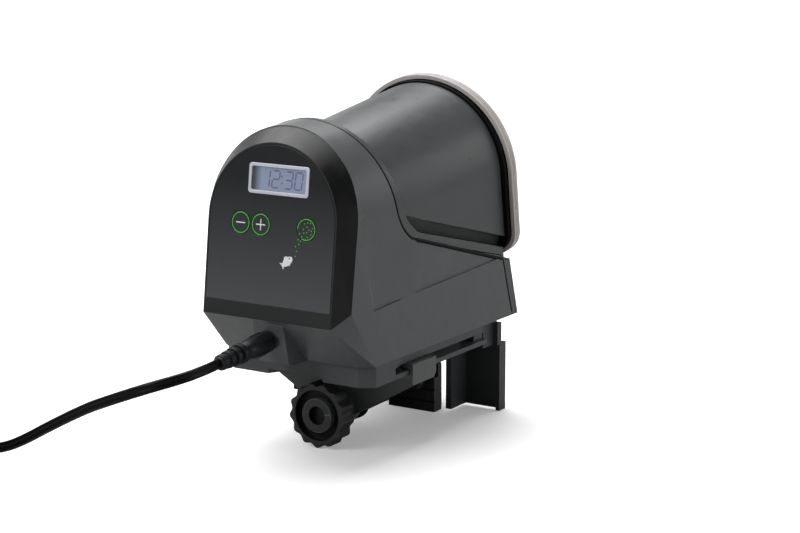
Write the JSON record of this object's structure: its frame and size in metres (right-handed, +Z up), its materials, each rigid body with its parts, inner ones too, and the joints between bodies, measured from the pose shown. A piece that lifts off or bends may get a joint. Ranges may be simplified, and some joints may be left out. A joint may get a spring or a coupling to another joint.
{
  "type": "automatic fish feeder",
  "caption": "Fish feeder with display housing, slide-on food hopper with feed screw, lift-off lid and a screw clamp for a tank rim, with its plug-in lead.",
  "frame": {"origin": "on the standing surface, under the middle of the feeder's box without its lead", "axes": "+X to the right seen from the front, +Y to the back where the lid is, +Z up; the display faces -Y"},
  "size_m": [0.263, 0.2855, 0.1652],
  "materials": {
    "housing_plastic": "fine satin moulded, near black",
    "hopper_plastic": "fine satin moulded, near black",
    "panel_gloss": "smooth printed overlay, soft gloss",
    "display_frame": "pale lavender grey",
    "lcd_glass": "blue-grey display window",
    "inner_plastic": "plain moulded",
    "board": "solder mask",
    "steel": "zinc plated",
    "motor_steel": "drawn can",
    "gear_plastic": "natural acetal",
    "lid_plastic": "warm light grey",
    "seal_rubber": "soft black",
    "clamp_plastic": "satin moulded",
    "pad_plastic": "ribbed, blue-black",
    "knob_plastic": "satin moulded",
    "brass": "turned",
    "cord_rubber": "soft PVC with a slight sheen",
    "adapter_plastic": "fine spark texture",
    "pins_metal": "nickel plated"
  },
  "bodies": {
    "housing": {"front_housing": "housing_plastic", "panel_overlay": "panel_gloss", "display_frame": "display_frame", "display_window": "lcd_glass", "display_module": "inner_plastic", "circuit_board": "board", "tact_switches": "inner_plastic", "board_screws": "steel", "dc_socket": "inner_plastic", "motor_plate": "inner_plastic", "motor": "motor_steel", "compound_shaft": "steel", "gear_cover": "inner_plastic", "cover_screws": "steel", "base_plate": "clamp_plastic", "base_screws": "steel", "rear_jaw": "clamp_plastic", "jaw_screws": "steel", "dc_plug": "cord_rubber", "plug_relief": "cord_rubber", "lead": "cord_rubber", "lead_coil": "cord_rubber", "lead_tail": "cord_rubber", "wall_adapter": "adapter_plastic", "adapter_pins": "pins_metal"},
    "minus_key": {"button_minus": "panel_gloss"},
    "plus_key": {"button_plus": "panel_gloss"},
    "feed_key": {"button_feed": "panel_gloss"},
    "pinion": {"motor_pinion": "gear_plastic"},
    "idler": {"compound_gear": "gear_plastic"},
    "output": {"output_gear": "gear_plastic"},
    "hopper_unit": {"hopper": "hopper_plastic", "hopper_bush": "gear_plastic", "drop_chute": "hopper_plastic"},
    "screw": {"feed_screw": "gear_plastic"},
    "cap": {"lid": "lid_plastic", "lid_gasket": "seal_rubber"},
    "carriage": {"clamp_carriage": "clamp_plastic", "spindle_nut": "brass"},
    "presser": {"pressure_bar": "pad_plastic", "clamp_pads": "seal_rubber"},
    "knob_unit": {"clamp_spindle": "steel", "spindle_clip": "steel", "clamp_knob": "knob_plastic"}
  },
  "joints": [
    {"name": "press_minus", "type": "slide", "parent": "housing", "child": "minus_key", "axis": [0, 0.9928, -0.1201], "range_m": [0, 0.0004], "stiffness_N_per_m": 900},
    {"name": "press_plus", "type": "slide", "parent": "housing", "child": "plus_key", "axis": [0, 0.9928, -0.1201], "range_m": [0, 0.0004], "stiffness_N_per_m": 900},
    {"name": "press_feed", "type": "slide", "parent": "housing", "child": "feed_key", "axis": [0, 0.9928, -0.1201], "range_m": [0, 0.0004], "stiffness_N_per_m": 900},
    {"name": "output_turn", "type": "hinge", "parent": "housing", "child": "output", "pos_m": [0, -0.02474, 0.068], "axis": [0, 1, 0], "continuous": true},
    {"name": "idler_turn", "type": "hinge", "parent": "housing", "child": "idler", "pos_m": [0.0182, -0.02474, 0.07411], "axis": [0, 1, 0], "continuous": true},
    {"name": "pinion_turn", "type": "hinge", "parent": "housing", "child": "pinion", "pos_m": [0.002, -0.02874, 0.08442], "axis": [0, 1, 0], "continuous": true},
    {"name": "hopper_slide", "type": "slide", "parent": "housing", "child": "hopper_unit", "axis": [0, 1, 0], "range_m": [0, 0.09]},
    {"name": "screw_turn", "type": "hinge", "parent": "hopper_unit", "child": "screw", "pos_m": [0, 0.02326, 0.068], "axis": [0, 1, 0], "continuous": true},
    {"name": "lid_pull", "type": "slide", "parent": "hopper_unit", "child": "cap", "axis": [0, 0.9903, 0.1392], "range_m": [0, 0.04]},
    {"name": "carriage_slide", "type": "slide", "parent": "housing", "child": "carriage", "axis": [0, 1, 0], "range_m": [-0.01, 0.024]},
    {"name": "pad_feed", "type": "slide", "parent": "carriage", "child": "presser", "axis": [0, 1, 0], "range_m": [-0.0041, 0.0081]},
    {"name": "knob_turn", "type": "hinge", "parent": "presser", "child": "knob_unit", "pos_m": [0, -0.02674, 0.0155], "axis": [0, 1, 0], "range_deg": [-720, 1440]}
  ],
  "couplings": [
    {"joint": "idler_turn", "follows": "output_turn", "ratio": -3},
    {"joint": "pinion_turn", "follows": "output_turn", "ratio": 9},
    {"joint": "screw_turn", "follows": "output_turn", "ratio": 1},
    {"joint": "pad_feed", "follows": "knob_turn", "m_per_rad": 0.00031831}
  ]
}
